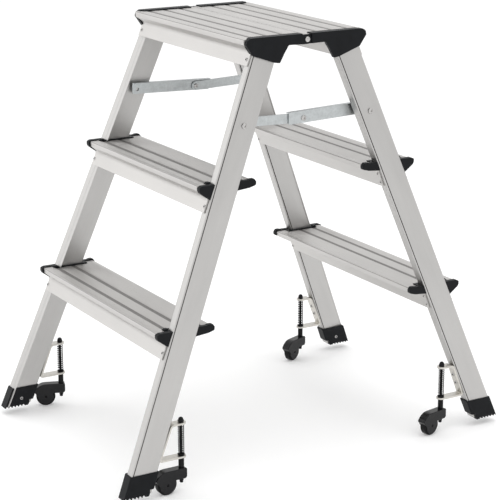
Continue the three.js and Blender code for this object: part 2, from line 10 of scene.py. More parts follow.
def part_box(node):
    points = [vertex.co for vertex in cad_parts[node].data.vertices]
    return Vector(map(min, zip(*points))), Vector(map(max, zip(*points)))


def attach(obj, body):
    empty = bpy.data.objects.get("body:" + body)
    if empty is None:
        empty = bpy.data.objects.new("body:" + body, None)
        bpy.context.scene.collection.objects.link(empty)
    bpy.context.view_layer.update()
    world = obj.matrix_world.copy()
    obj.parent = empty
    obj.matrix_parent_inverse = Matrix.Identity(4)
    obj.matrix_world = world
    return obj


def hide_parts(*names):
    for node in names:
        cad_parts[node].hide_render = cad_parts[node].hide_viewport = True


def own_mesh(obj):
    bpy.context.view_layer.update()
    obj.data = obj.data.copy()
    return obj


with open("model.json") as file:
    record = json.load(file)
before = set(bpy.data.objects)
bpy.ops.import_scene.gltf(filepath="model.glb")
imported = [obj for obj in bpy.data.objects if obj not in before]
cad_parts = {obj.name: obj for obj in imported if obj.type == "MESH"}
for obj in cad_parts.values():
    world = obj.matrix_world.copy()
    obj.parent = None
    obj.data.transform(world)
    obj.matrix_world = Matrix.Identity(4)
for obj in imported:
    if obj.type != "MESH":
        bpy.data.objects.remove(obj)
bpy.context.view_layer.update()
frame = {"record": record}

bl_info = {
    "name": "Folding Step Ladder",
    "version": (1, 0, 0),
    "blender": (4, 5, 0),
    "location": "View3D > Sidebar > Ladder",
    "description": "Builds the pieces of a double-sided folding step ladder on its packed frame",
    "category": "Add Mesh",
}

# Shapes are made in millimetres, as the front right corner of the ladder has them: X outwards
# along the steps, Y from the outside of the frame to the middle of the ladder, Z up. A corner's
# pieces are that shape mirrored, and every piece is scaled to metres in its mesh.

MM = 0.001
CORNERS = ("front_right", "front_left", "back_right", "back_left")
FRAMES = ("front", "back")
STEPS = ("middle", "bottom")
GAP = 0.3  # between pieces that touch
LEAN = math.radians(21.6)  # stiles from the vertical
FAR = 400  # past everything, for cutting blocks


def box(node):
    """A node's lowest and highest corner, in millimetres."""
    return [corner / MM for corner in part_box(node)]


def joint(name):
    """What the record says about a joint."""
    return next(j for j in frame["record"]["behaviour"]["joints"] if j["name"] == name)


def joint_place(name):
    return Vector(joint(name)["pos_m"]) / MM


# ---- sizes and colours


def length(name, description, default):
    """A size that the user sees in scene units. The default is in millimetres."""
    return FloatProperty(
        name=name, description=description, default=default * MM, min=0, unit="LENGTH", precision=5)


def colour(name, description, default):
    return FloatVectorProperty(
        name=name, description=description, default=default, size=3, min=0, max=1, subtype="COLOR")


class LadderSizes(bpy.types.PropertyGroup):
    """Sizes of the sections and of the small detail."""

    stile_wall: length("Stile wall", "Thickness of the stile's wall", 1.6)
    stile_corner: length("Stile corner", "Radius of the stile's corners", 2)
    groove_width: length("Groove width", "Width of the stile's two grooves", 1.5)
    groove_depth: length("Groove depth", "Depth of the stile's two grooves", 1.1)
    tread_wall: length("Tread wall", "Thickness of the treads", 2.2)
    rib_pitch: length("Rib pitch", "From one fine rib of a tread to the next", 2.3)
    rib_groove: length("Rib groove", "Width of the groove between two ribs", 0.7)
    rib_depth: length("Rib depth", "Depth of the groove between two ribs", 0.25)
    band_width: length("Band width", "Width of a sunken band of a tread", 9)
    band_depth: length("Band depth", "Depth of a sunken band of a tread", 0.6)
    wire: length("Spring wire", "Thickness of the castor springs' wire", 1.45)
    coils: IntProperty(
        name="Spring coils", description="Turns of each castor spring", default=13, min=3)


class LadderColours(bpy.types.PropertyGroup):
    """Base colours of the finishes."""

    stile: colour("Stiles", "Anodised aluminium of the stiles", (0.50, 0.492, 0.482))
    tread: colour("Treads", "Extruded aluminium of the treads", (0.56, 0.548, 0.535))
    band: colour("Bands", "Serrated bands of the treads", (0.27, 0.262, 0.255))
    # Painted shade: a dark colour given to the floors of the stiles' grooves to stand in for the
    # shade in them
    groove: colour("Painted groove shade", "Shaded grooves of the stiles", (0.10, 0.095, 0.09))
    zinc: colour("Zinc", "Plated steel of the stays", (0.52, 0.545, 0.55))
    bracket: colour("Brackets", "Plated steel of the castor brackets", (0.60, 0.58, 0.54))
    rivet: colour("Rivets", "Steel of rivets and bolts", (0.52, 0.51, 0.50))
    plastic: colour("Plastic", "Moulded caps and feet", (0.0055, 0.0062, 0.0075))
    castor: colour("Castors", "Glossy castor housings", (0.004, 0.004, 0.0048))
    tyre: colour("Wheels", "Castor wheels", (0.005, 0.005, 0.0055))
    # This colour is also the painted shade in the rivets' hollows
    steel: colour("Blackened steel", "Castor pins and springs", (0.009, 0.009, 0.010))
    floor: colour("Floor", "Plain studio floor", (0.93, 0.93, 0.93))


def size(name):
    """A size from the panel, in millimetres."""
    return getattr(bpy.context.scene.ladder_sizes, name) / MM


# ---- where the stiles are

STILE_LOW, STILE_HIGH = box("front_right_stile")
STILE_WIDTH, STILE_DEPTH = 17, 41  # along the steps, and across the narrow faces
STILE_LEVEL = STILE_DEPTH / math.cos(LEAN)  # its depth, measured level
SPLAY = (STILE_HIGH.x - STILE_LOW.x - STILE_WIDTH) / (STILE_HIGH.z - STILE_LOW.z)
SLOPE = (STILE_HIGH.y - STILE_LOW.y - STILE_LEVEL) / (STILE_HIGH.z - STILE_LOW.z)
PLATFORM_LOW, PLATFORM_HIGH = box("front_platform_half")
PLATFORM_TOP = PLATFORM_HIGH.z


def outer_x(z):
    return STILE_HIGH.x - (z - STILE_LOW.z) * SPLAY


def front_y(z):
    return STILE_LOW.y + (z - STILE_LOW.z) * SLOPE


def back_y(z):
    return front_y(z) + STILE_LEVEL


# ---- outlines


def rounded(points, radius, steps=4, closed=True):
    """The outline with its corners rounded. A point's third number is a radius of its own."""
    out = []
    last = len(points) - 1
    for i, point in enumerate(points):
        here = Vector(point[:2])
        reach = point[2] if len(point) > 2 else radius
        if not reach or (not closed and i in (0, last)):
            out.append(tuple(here))
            continue
        before = Vector(points[i - 1][:2]) - here
        after = Vector(points[(i + 1) % len(points)][:2]) - here
        reach = min(
            reach / math.tan(before.angle(after) / 2), before.length * 0.48, after.length * 0.48)
        start, end = here + before.normalized() * reach, here + after.normalized() * reach
        for step in range(steps + 1):
            t = step / steps
            out.append(tuple((1 - t) ** 2 * start + 2 * t * (1 - t) * here + t * t * end))
    return out


def offset(points, distance, closed=True):
    """The outline moved to the right of its direction by a distance, with mitred corners."""
    out = []
    count = len(points)
    for i, point in enumerate(points):
        here = Vector(point)
        before = Vector(points[i - 1]) if closed or i else None
        after = Vector(points[(i + 1) % count]) if closed or i < count - 1 else None
        normals = []
        for a, b in ((before, here), (here, after)):
            if a is not None and b is not None and (b - a).length > 1e-6:
                along = (b - a).normalized()
                normals.append(Vector((along.y, -along.x)))
        if len(normals) == 1:
            normals *= 2
        total = normals[0] + normals[1]
        out.append(tuple(here + total * distance / (1 + normals[0].dot(normals[1]))))
    return out


def walled(path, wall):
    """The closed outline of a sheet whose outer face follows the path."""
    return list(path) + offset(path, wall, closed=False)[::-1]


def rectangle(u0, u1, v0, v1):
    return [(u0, v0), (u1, v0), (u1, v1), (u0, v1)]


def arc(centre, radius, start, end, steps):
    """Points on a circle, from one angle to another in degrees."""
    angles = [math.radians(start + (end - start) * i / steps) for i in range(steps + 1)]
    return [
        (centre[0] + radius * math.cos(a), centre[1] + radius * math.sin(a)) for a in angles]


def quarter(radius, rise, at, steps):
    """[radius, height] points of a dome, from its edge at a height towards its top."""
    angles = [math.pi / 2 * i / steps for i in range(1, steps)]
    return [(radius * math.cos(a), at + rise * math.sin(a)) for a in angles]


# ---- solids


def verts_of(geometry):
    return [g for g in geometry if isinstance(g, bmesh.types.BMVert)]


def carried(points, vector, soft=0, segments=3):
    """A closed block: the outline through the points, carried along a vector."""
    bm = bmesh.new()
    face = bm.faces.new([bm.verts.new(p) for p in points])
    moved = bmesh.ops.extrude_face_region(bm, geom=[face])["geom"]
    bmesh.ops.translate(bm, verts=verts_of(moved), vec=vector)
    bmesh.ops.recalc_face_normals(bm, faces=bm.faces)
    if soft:
        soften(bm, soft, segments)
    return bm


def along_x(outline, x0, x1, soft=0, segments=3):
    return carried([(x0, y, z) for y, z in outline], (x1 - x0, 0, 0), soft, segments)


def up_z(outline, z0, z1, soft=0, segments=3):
    return carried([(x, y, z0) for x, y in outline], (0, 0, z1 - z0), soft, segments)


def stile_point(x, y, z):
    """A point of the stile's level section, given as at platform height, moved down to z."""
    drop = PLATFORM_TOP - z
    return (x + drop * SPLAY, y - drop * SLOPE, z)


def along_stile(outline, z0, z1, soft=0, segments=3):
    rise = z1 - z0
    return carried(
        [stile_point(x, y, z0) for x, y in outline],
        (-rise * SPLAY, rise * SLOPE, rise), soft, segments)


def stile_outline(clearance):
    """The stile's section as at platform height, grown by a clearance."""
    x1, y0 = outer_x(PLATFORM_TOP) + clearance, front_y(PLATFORM_TOP) - clearance
    return rectangle(
        x1 - STILE_WIDTH - 2 * clearance, x1, y0, y0 + STILE_LEVEL + 2 * clearance)


def soften(bm, width, segments=3, angle=35):
    """Bevels the edges that turn by more than an angle."""
    limit = math.radians(angle)
    edges = [
        e for e in bm.edges if len(e.link_faces) == 2 and e.calc_face_angle(0) > limit]
    bmesh.ops.bevel(
        bm, geom=edges, offset=width, offset_type="OFFSET", affect="EDGES", segments=segments,
        profile=0.5, material=-1, clamp_overlap=True, loop_slide=True)


def turned(profile, axis, at, steps=32):
    """A [radius, height] profile turned about an axis through a point."""
    bm = bmesh.new()
    along, at = Vector(axis).normalized(), Vector(at)
    across = along.orthogonal().normalized()
    verts = [bm.verts.new(at + across * r + along * h) for r, h in profile]
    edges = [bm.edges.new(pair) for pair in zip(verts, verts[1:])]
    bmesh.ops.spin(
        bm, geom=verts + edges, cent=at, axis=along, angle=2 * math.pi, steps=steps,
        use_merge=True)
    bmesh.ops.remove_doubles(bm, verts=bm.verts, dist=0.001)
    bmesh.ops.recalc_face_normals(bm, faces=bm.faces)
    return bm


def rod(radius, start, end):
    return [(0, start), (radius, start), (radius, end), (0, end)]


def joined(*parts):
    """Several closed shapes in one mesh."""
    whole = bmesh.new()
    for part in parts:
        mesh = bpy.data.meshes.new("Joining")
        part.to_mesh(mesh)
        part.free()
        whole.from_mesh(mesh)
        bpy.data.meshes.remove(mesh)
    return whole


def combined(operation, bm, *tools):
    """The shape with tools added, cut out or kept in common, by the exact solver."""
    shapes = []
    for part in (bm, *tools):
        mesh = bpy.data.meshes.new("Shaping")
        part.to_mesh(mesh)
        part.free()
        shapes.append(bpy.data.objects.new("Shaping", mesh))
        bpy.context.scene.collection.objects.link(shapes[-1])
    for tool in shapes[1:]:
        step = shapes[0].modifiers.new("Shape", "BOOLEAN")
        step.operation, step.solver, step.object = operation, "EXACT", tool
    evaluated = shapes[0].evaluated_get(bpy.context.evaluated_depsgraph_get())
    result = bmesh.new()
    result.from_mesh(evaluated.to_mesh())
    evaluated.to_mesh_clear()
    for shape in shapes:
        mesh = shape.data
        bpy.data.objects.remove(shape)
        bpy.data.meshes.remove(mesh)
    bmesh.ops.remove_doubles(result, verts=result.verts, dist=0.001)
    return result


def cut(bm, *tools):
    return combined("DIFFERENCE", bm, *tools)


def mirrored_x(bm):
    bmesh.ops.scale(bm, vec=(-1, 1, 1), verts=bm.verts)
    bmesh.ops.reverse_faces(bm, faces=bm.faces)
    return bm


# ---- pieces

ALONG_X = Matrix(((0, 0, 1, 0), (0, 1, 0, 0), (1, 0, 0, 0), (0, 0, 0, 1)))  # the grain runs in X
ALONG_STILE = Matrix(((1, 0, SPLAY, 0), (0, 1, -SLOPE, 0), (0, 0, 1, 0), (0, 0, 0, 1)))
ALONG_Z = Matrix.Identity(4)


def corner_place(corner):
    """Mirrors the front right corner to another one."""
    return Matrix.Diagonal((1 if "right" in corner else -1, 1 if "front" in corner else -1, 1, 1))


def add_piece(
        name, bm, body, slot, nodes=(), place=None, grain=ALONG_Z, crease=50, marked=None,
        finishes=None):
    """Adds the shape as a piece that rides on a body and takes the finish of its slot."""
    stretch = bm.verts.layers.float_vector.new("grain")
    for vert in bm.verts:
        vert[stretch] = grain @ vert.co
    if marked:
        for face in bm.faces:
            face.material_index = int(marked(face))
    bmesh.ops.transform(
        bm, matrix=Matrix.Scale(MM, 4) @ (place or Matrix.Identity(4)), verts=bm.verts)
    bmesh.ops.recalc_face_normals(bm, faces=bm.faces)
    mesh = bpy.data.meshes.new(name)
    bm.to_mesh(mesh)
    bm.free()
    mesh.shade_smooth()
    mesh.set_sharp_from_angle(angle=math.radians(crease))
    made = bpy.data.objects.new(name, mesh)
    bpy.context.scene.collection.objects.link(made)
    for material in finishes or FINISHES[slot]():
        mesh.materials.append(material)
    even = made.modifiers.new("Even shading", "WEIGHTED_NORMAL")
    even.keep_sharp = True
    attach(made, body)
    if nodes:
        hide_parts(*nodes)
    return made


def frame_of(corner):
    return corner.split("_")[0] + "_frame"


def add_to_corner(corner, name, bm, slot, nodes=(), **more):
    """Adds a front right shape at a corner, fixed to the frame there."""
    named = [f"{corner}_{node}" for node in nodes]
    return add_piece(
        f"{corner}_{name}", bm, frame_of(corner), slot, named, corner_place(corner), **more)


# ---- finishes


class Value:
    """A socket inside a finish. Arithmetic on it adds Math nodes."""

    def __init__(self, finish, socket):
        self.finish, self.socket = finish, socket

    def _math(self, operation, first, second):
        return self.finish.node(
            "ShaderNodeMath", {"operation": operation}, {0: first, 1: second})

    def __add__(self, other):
        return self._math("ADD", self, other)

    def __sub__(self, other):
        return self._math("SUBTRACT", self, other)

    def __rsub__(self, other):
        return self._math("SUBTRACT", other, self)

    def __mul__(self, other):
        return self._math("MULTIPLY", self, other)

    __radd__ = __add__
    __rmul__ = __mul__


class Finish:
    """A material and the one way in which its nodes are added."""

    def __init__(self, name):
        self.material = bpy.data.materials.new(name)
        self.material.use_nodes = True
        self.tree = self.material.node_tree
        self.tree.nodes.clear()

    def node(self, kind, settings=None, inputs=None, output=0):
        made = self.tree.nodes.new(kind)
        for key, value in (settings or {}).items():
            if key == "stops":
                for element, (position, shade) in zip(made.color_ramp.elements, value):
                    element.position, element.color = position, (shade, shade, shade, 1)
            else:
                setattr(made, key, value)
        for key, value in (inputs or {}).items():
            if isinstance(value, Value):
                self.tree.links.new(value.socket, made.inputs[key])
            else:
                made.inputs[key].default_value = value
        return Value(self, made.outputs[output]) if made.outputs else None

    def grain(self, across, along):
        """The piece's own coordinates in millimetres, scaled across and along its grain."""
        own = self.node("ShaderNodeAttribute", {"attribute_name": "grain"}, output="Vector")
        return self.node(
            "ShaderNodeVectorMath", {"operation": "MULTIPLY"},
            {0: own, 1: (across, across, along)})

    def noise(self, vector, detail=3.0, roughness=0.5):
        return self.node(
            "ShaderNodeTexNoise", {},
            {"Vector": vector, "Scale": 1.0, "Detail": detail, "Roughness": roughness})

    def ramp(self, value, low, high):
        """0 below low, 1 above high."""
        return self.node("ShaderNodeValToRGB", {"stops": [(low, 0), (high, 1)]}, {"Fac": value})

    def mix(self, factor, first, second):
        return self.node(
            "ShaderNodeMix", {"data_type": "RGBA"},
            {0: factor, 6: (*first, 1), 7: (*second, 1)}, output=2)

    def bump(self, height, distance, strength=1.0):
        return self.node(
            "ShaderNodeBump", {},
            {"Height": height, "Distance": distance * MM, "Strength": strength})

    def shaded(self, **inputs):
        """Ends the finish with its shader, and gives the material."""
        named = {key.replace("_", " ").title().replace("Ior", "IOR"): v for key, v in inputs.items()}
        shader = self.node("ShaderNodeBsdfPrincipled", {}, named)
        self.node("ShaderNodeOutputMaterial", {}, {"Surface": shader})
        return self.material


def tinted(name, share):
    """A colour from the panel, made lighter or darker."""
    return tuple(min(c * share, 1) for c in getattr(bpy.context.scene.ladder_colours, name))


def kept(name, make):
    """A finish made once."""
    return bpy.data.materials.get(name) or make(Finish(name))


def extruded(name, tone, roughness):
    """Satin aluminium: fine die lines along its grain, and slow clouds in the anodising."""
    def make(finish):
        lines = finish.noise(finish.grain(2.6, 0.012), 4.0, 0.6)
        fine = finish.noise(finish.grain(9.0, 0.05), 2.0)
        clouds = finish.noise(finish.grain(0.03, 0.008), 3.0)
        return finish.shaded(
            base_color=finish.mix(
                finish.ramp(lines * 0.45 + clouds * 0.55, 0.35, 0.66),
                tinted(tone, 0.94), tinted(tone, 1.05)),
            metallic=1.0,
            roughness=lines * 0.10 + clouds * 0.10 + (roughness - 0.10),
            normal=finish.bump(lines * 0.7 + fine * 0.3, 0.03, 0.35))
    return kept(name, make)


def plated(name, tone):
    """Zinc plate: soft crystalline patches, scuffed a little along the strap."""
    def make(finish):
        cells = finish.node(
            "ShaderNodeTexVoronoi", {}, {"Vector": finish.grain(0.28, 0.28), "Scale": 1.0})
        haze = finish.noise(finish.grain(0.12, 0.12), 5.0, 0.6)
        scuffs = finish.noise(finish.grain(1.6, 0.3), 4.0)
        return finish.shaded(
            base_color=finish.mix(
                finish.ramp(haze * 0.7 + cells * 0.25, 0.3, 0.75),
                tinted(tone, 0.84), tinted(tone, 1.08)),
            metallic=1.0,
            roughness=haze * 0.20 + scuffs * 0.12 + 0.18,
            normal=finish.bump(scuffs, 0.03, 0.3))
    return kept(name, make)


def moulded(name, tone, roughness, texture, gloss):
    """Moulded black plastic: a fine spark texture and a faint cloud in its gloss."""
    def make(finish):
        spark = finish.noise(finish.grain(2.2, 2.2), 3.0, 0.6)
        clouds = finish.noise(finish.grain(0.06, 0.06), 3.0)
        return finish.shaded(
            base_color=finish.mix(
                finish.ramp(clouds, 0.35, 0.7), tinted(tone, 0.85), tinted(tone, 1.25)),
            roughness=clouds * 0.12 + spark * 0.06 + (roughness - 0.09),
            specular_ior_level=gloss,
            normal=finish.bump(spark, texture, 0.5))
    return kept(name, make)


def blackened_steel_and_hollow_shade():
    """Blackened steel with a trace of oil; on the rivets it is painted shade in their hollows."""
    def make(finish):
        haze = finish.noise(finish.grain(0.5, 0.5), 4.0, 0.6)
        return finish.shaded(
            base_color=finish.mix(
                finish.ramp(haze, 0.35, 0.7), tinted("steel", 0.7), tinted("steel", 1.4)),
            metallic=0.75,
            roughness=haze * 0.2 + 0.24,
            normal=finish.bump(haze, 0.02, 0.4))
    return kept("Blackened_steel", make)


def bright():
    """Bright steel of rivet heads and bolts, with turning marks."""
    def make(finish):
        haze = finish.noise(finish.grain(0.9, 0.9), 4.0, 0.6)
        return finish.shaded(
            base_color=finish.mix(
                finish.ramp(haze, 0.35, 0.7), tinted("rivet", 0.8), tinted("rivet", 1.15)),
            metallic=1.0,
            roughness=haze * 0.15 + 0.2,
            normal=finish.bump(haze, 0.02, 0.3))
    return kept("Rivet_steel", make)


FINISHES = {
    "anodised_aluminium": lambda: (
        # The stiles' second finish is painted shade for the floors of their grooves
        extruded("Anodised_stile", "stile", 0.42), extruded("Groove_floor", "groove", 0.6)),
    "ribbed_aluminium": lambda: (
        extruded("Ribbed_tread", "tread", 0.46), extruded("Tread_band", "band", 0.55)),
    "zinc_steel": lambda: (plated("Zinc_plate", "zinc"),),
    "black_plastic": lambda: (moulded("Black_moulding", "plastic", 0.45, 0.03, 0.14),),
    "gloss_plastic": lambda: (moulded("Gloss_moulding", "castor", 0.22, 0.01, 0.3),),
    "wheel_plastic": lambda: (moulded("Wheel_moulding", "tyre", 0.45, 0.02, 0.14),),
    "black_steel": lambda: (blackened_steel_and_hollow_shade(),),
    # The rivets' second finish is painted shade in their hollows, in the blackened steel colour
    "rivet_steel": lambda: (bright(), blackened_steel_and_hollow_shade()),
}


# ---- stiles


def stile_shape(crossed):
    """A stile's tube, with grooves at two opposite corners of its section or the other two."""
    wide, deep = STILE_WIDTH, STILE_DEPTH
    groove, depth, corner = size("groove_width"), size("groove_depth"), size("stile_corner")
    edge = corner + 0.1  # from the narrow face to the groove
    nick = [(edge, 0), (edge, depth), (edge + groove, depth), (edge + groove, 0)]
    # u across the width from the inner face, v across the depth from the outer face
    if crossed:
        outer_nick = [(wide - d, deep - v) for v, d in nick[::-1]]
        inner_nick = [(d, v) for v, d in nick[::-1]]
    else:
        outer_nick = [(wide - d, v) for v, d in nick]
        inner_nick = [(d, deep - v) for v, d in nick]
    outline = (
        rounded([(0, 0, corner), (wide, 0, corner), (wide, 0.5 * deep, 0)], corner, 6)[:-1]
        + outer_nick
        + rounded([(wide, 0.5 * deep, 0), (wide, deep, corner), (0, deep, corner),
                   (0, 0.5 * deep, 0)], corner, 6)[1:-1]
        + inner_nick)
    inner = offset(outline, -size("stile_wall"))
    x0, y0 = outer_x(PLATFORM_TOP) - wide, front_y(PLATFORM_TOP)
    bm = bmesh.new()
    edges = []
    for loop in (outline, inner):
        verts = [
            bm.verts.new(stile_point(x0 + u, y0 + v / math.cos(LEAN), STILE_LOW.z))
            for u, v in loop]
        edges += [bm.edges.new((a, b)) for a, b in zip(verts, verts[1:] + verts[:1])]
    ring = bmesh.ops.bridge_loops(bm, edges=edges)["faces"]
    rise = STILE_HIGH.z - STILE_LOW.z
    moved = bmesh.ops.extrude_face_region(bm, geom=ring)["geom"]
    bmesh.ops.translate(bm, verts=verts_of(moved), vec=(-rise * SPLAY, rise * SLOPE, rise))
    return bm, (x0, y0, edge, groove, depth)


class LADDER_OT_stiles(bpy.types.Operator):
    """Four hollow stiles with two grooves each"""

    bl_idname = "ladder.stiles"
    bl_label = "Stiles"

    def execute(self, context):
        for corner in CORNERS:
            crossed = corner in ("front_left", "back_right")
            bm, (x0, y0, edge, groove, depth) = stile_shape(crossed)

            # Marks the groove faces that take the painted groove shade
            def takes_groove_shade(face):
                centre = ALONG_STILE @ face.calc_center_median()
                v = (centre.y - front_y(0)) * math.cos(LEAN)
                u = centre.x - (outer_x(0) - STILE_WIDTH)
                near, v = min(u, STILE_WIDTH - u), min(v, STILE_DEPTH - v)
                return edge - 0.1 < v < edge + groove + 0.1 and 0.05 < near < depth + 0.1

            add_to_corner(
                corner, "stile_section", bm, "anodised_aluminium", ["stile"],
                grain=ALONG_STILE, marked=takes_groove_shade)
        return {"FINISHED"}


# ---- treads

NOSE_HEIGHT = 8.5
UNDERCUT = 19  # from the surface down to the riser
RISER = 40  # from the surface down to the lower edge
PLATFORM_SKIRT = 36.5  # the same for the skirt under the platform
LIP_HEIGHT = 9
BAND_SLOPE = 0.9  # width of the slanted side of a band
STEP_BANDS = (17, 45)  # where each sunken band starts, from the nose
PLATFORM_BANDS = (17, 46, 75)
JOINT_FLANGE = (3.4, 13)  # how the inner edge of a platform half folds away and down


def ribs(y0, y1, top):
    """The fine grooves of a stretch of tread."""
    pitch, width, depth = size("rib_pitch"), size("rib_groove"), size("rib_depth")
    count = int((y1 - y0) / pitch)
    start = (y0 + y1 - count * pitch) / 2 + (pitch - width) / 2
    flank = width * 0.2
    out = []
    for i in range(count):
        y = start + i * pitch
        out += [
            (y, top), (y + flank, top - depth), (y + width - flank, top - depth),
            (y + width, top)]
    return out


def surface(y0, y1, top, bands):
    """The ribbed surface from the nose side to the back, with its sunken bands."""
    out, at = [], y0
    for start in bands:
        low = top - size("band_depth")
        end = start + size("band_width")
        out += ribs(at, start, top) + [(start, top), (start + BAND_SLOPE, low)]
        out += ribs(start + BAND_SLOPE, end - BAND_SLOPE, low)
        out += [(end - BAND_SLOPE, low), (end, top)]
        at = end
    return out + ribs(at, y1, top)


def nose_points(top, nose):
    """From the lower edge of the riser up round the nose to the surface."""
    off = GAP + size("tread_wall")
    return [
        (front_y(top - RISER) - off, top - RISER),
        (front_y(top - UNDERCUT) - off, top - UNDERCUT, 7),
        (nose + 1, top - NOSE_HEIGHT, 1.6),
        (nose, top, 2.6),
        (nose + 6, top)]


def lip_points(top, lip):
    """From the surface round the lip and down the skirt to its lower edge."""
    off = GAP + size("tread_wall")
    return [
        (lip - 6, top),
        (lip, top, 2.5),
        (lip - 1, top - LIP_HEIGHT, 1.6),
        (back_y(top - LIP_HEIGHT - 1) + off, top - LIP_HEIGHT - 1, 4),
        (back_y(top - RISER) + off, top - RISER)]


def bent(points):
    return rounded(points, 1, 5, closed=False)


def tread_shape(low, high, bands, back):
    """A tread from its box, its bands and the points of its back edge."""
    nose, top = low.y, high.z
    front = nose_points(top, nose)
    starts = [nose + band for band in bands]
    outer = bent(front) + surface(front[-1][0], back[0][0], top, starts) + bent(back)
    sharp = [point[:2] for point in front + back]
    inner = rounded(offset(sharp, size("tread_wall"), closed=False), 0.5, 2, closed=False)
    return along_x(outer + inner[::-1], -high.x, high.x)


def skirt_shape():
    """The plate of a platform half that lies on the inner faces of the stiles."""
    low, high = PLATFORM_TOP - PLATFORM_SKIRT, PLATFORM_TOP - size("tread_wall") / 2
    near, far = GAP, GAP + size("tread_wall")
    return along_x([
        (back_y(low) + near, low), (back_y(low) + far, low),
        (back_y(high) + far, high), (back_y(high) + near, high)],
        -PLATFORM_HIGH.x, PLATFORM_HIGH.x)


def stile_notch(top):
    """Room for a stile at the end of a step, open outwards."""
    x0 = outer_x(PLATFORM_TOP) - STILE_WIDTH - GAP
    y0 = front_y(PLATFORM_TOP) - GAP
    return along_stile(
        rectangle(x0, x0 + FAR, y0, y0 + STILE_LEVEL + 2 * GAP), top - RISER - 10, top + 10)


def in_band(top):
    """Says which faces are the floor of a sunken band."""
    low = top - size("band_depth")
    deepest = low - size("rib_depth")

    def marked(face):
        centre = face.calc_center_median()
        return deepest - 0.05 < centre.z < low + 0.05 and abs(face.normal.x) < 0.5

    return marked


class LADDER_OT_treads(bpy.types.Operator):
    """Two platform halves and four steps of ribbed extrusion"""

    bl_idname = "ladder.treads"
    bl_label = "Treads"

    def execute(self, context):
        for name in FRAMES:
            place = corner_place(f"{name}_right")
            for step in STEPS:
                low, high = box(f"front_{step}_step")
                bm = cut(
                    tread_shape(low, high, STEP_BANDS, lip_points(high.z, high.y)),
                    stile_notch(high.z), mirrored_x(stile_notch(high.z)))
                add_piece(
                    f"{name}_{step}_tread", bm, f"{name}_frame", "ribbed_aluminium",
                    [f"{name}_{step}_step"], place, ALONG_X, marked=in_band(high.z))
            edge = PLATFORM_HIGH.y
            back = [
                (edge - 5, PLATFORM_TOP), (edge, PLATFORM_TOP, 1.2),
                (edge - JOINT_FLANGE[0], PLATFORM_TOP - JOINT_FLANGE[1])]
            bm = tread_shape(PLATFORM_LOW, PLATFORM_HIGH, PLATFORM_BANDS, back)
            low, high = box("right_hinge_bolt")
            middle = (low + high) / 2
            reach = (high.z - low.z) / 2 + 1
            room = [
                turned(rod(reach, -6, 6), (1, 0, 0), (side * low.x, 0, middle.z), 24)
                for side in (1, -1)]
            bm = combined("UNION", bm, skirt_shape())
            add_piece(
                f"{name}_platform_tread", cut(bm, *room), f"{name}_frame", "ribbed_aluminium",
                [f"{name}_platform_half"], place, ALONG_X, marked=in_band(PLATFORM_TOP))
        return {"FINISHED"}


# ---- caps of the steps


def tread_core(top, nose, lip, x1):
    """What a cap fits round: the end of a tread, filled, with its riser and skirt."""
    slack = 0.15
    outline = bent(nose_points(top, nose)) + bent(lip_points(top, lip))
    return along_x(offset(outline, -slack), 0, x1 + slack)


def step_cap_shape(step):
    tread_low, tread_high = box(f"front_{step}_step")
    low, high = box(f"front_right_{step}_cap")
    top, nose, lip, end = tread_high.z, tread_low.y, tread_high.y, tread_high.x
    rim = high.z - top
    wrap = 6  # how far the cap reaches over the end of the tread
    lobe = along_x(rounded([
        (front_y(top + rim) + 3, top + rim, 0),
        (front_y(top - 21) + 3, top - 21, 0),
        (front_y(top - 20) - 1.5, top - 20.2, 1.5),
        (nose - 0.6, top - NOSE_HEIGHT - 1, 2),
        (low.y, top - NOSE_HEIGHT + 2.5, 2),
        (low.y, top - 0.5, 2.4),
        (nose + 2.5, top + rim, 2.4)], 1, 5), end - wrap, high.x, 0.8)
    tab = along_x(rounded([
        (back_y(top + rim) - 3, top + rim, 0),
        (lip - 11, top + rim, 2),
        (lip - 7, top + rim + 1.1, 2),
        (lip - 1, top + rim + 1.1, 3),
        (high.y, top - 2, 3),
        (high.y - 0.5, top - 7.5, 3),
        (lip - 9, top - 10.5, 3),
        (back_y(top - 12.5) - 3, top - 12.8, 0)], 1, 5), high.x - 8, high.x, 0.8)
    strip = up_z(
        rectangle(low.x, high.x - 0.8, front_y(top) - 8, back_y(top) + 8), top + 0.15, top + rim)
    knuckle = up_z(rounded(
        rectangle(low.x + 1, low.x + 9, front_y(top) - 7.5, front_y(top) - 1), 2), top - 1,
        top + rim + 2, 1)
    shape = combined("UNION", lobe, tab, strip, knuckle)
    return cut(
        shape, tread_core(top, nose, lip, end),
        along_stile(stile_outline(GAP), top - 40, top + 40))


class LADDER_OT_step_caps(bpy.types.Operator):
    """Eight moulded caps on the ends of the steps"""

    bl_idname = "ladder.step_caps"
    bl_label = "Step Caps"

    def execute(self, context):
        for corner in CORNERS:
            for step in STEPS:
                add_to_corner(
                    corner, f"{step}_end_cap", step_cap_shape(step), "black_plastic",
                    [f"{step}_cap"])
        return {"FINISHED"}


# ---- hinged caps of the platform

HINGE = joint_place("fold")
LUG = 7.2  # radius of the hinge lugs
LUG_ROOM = 1.4  # between a lug and the edge of the other cap
PIN_RADIUS = 3


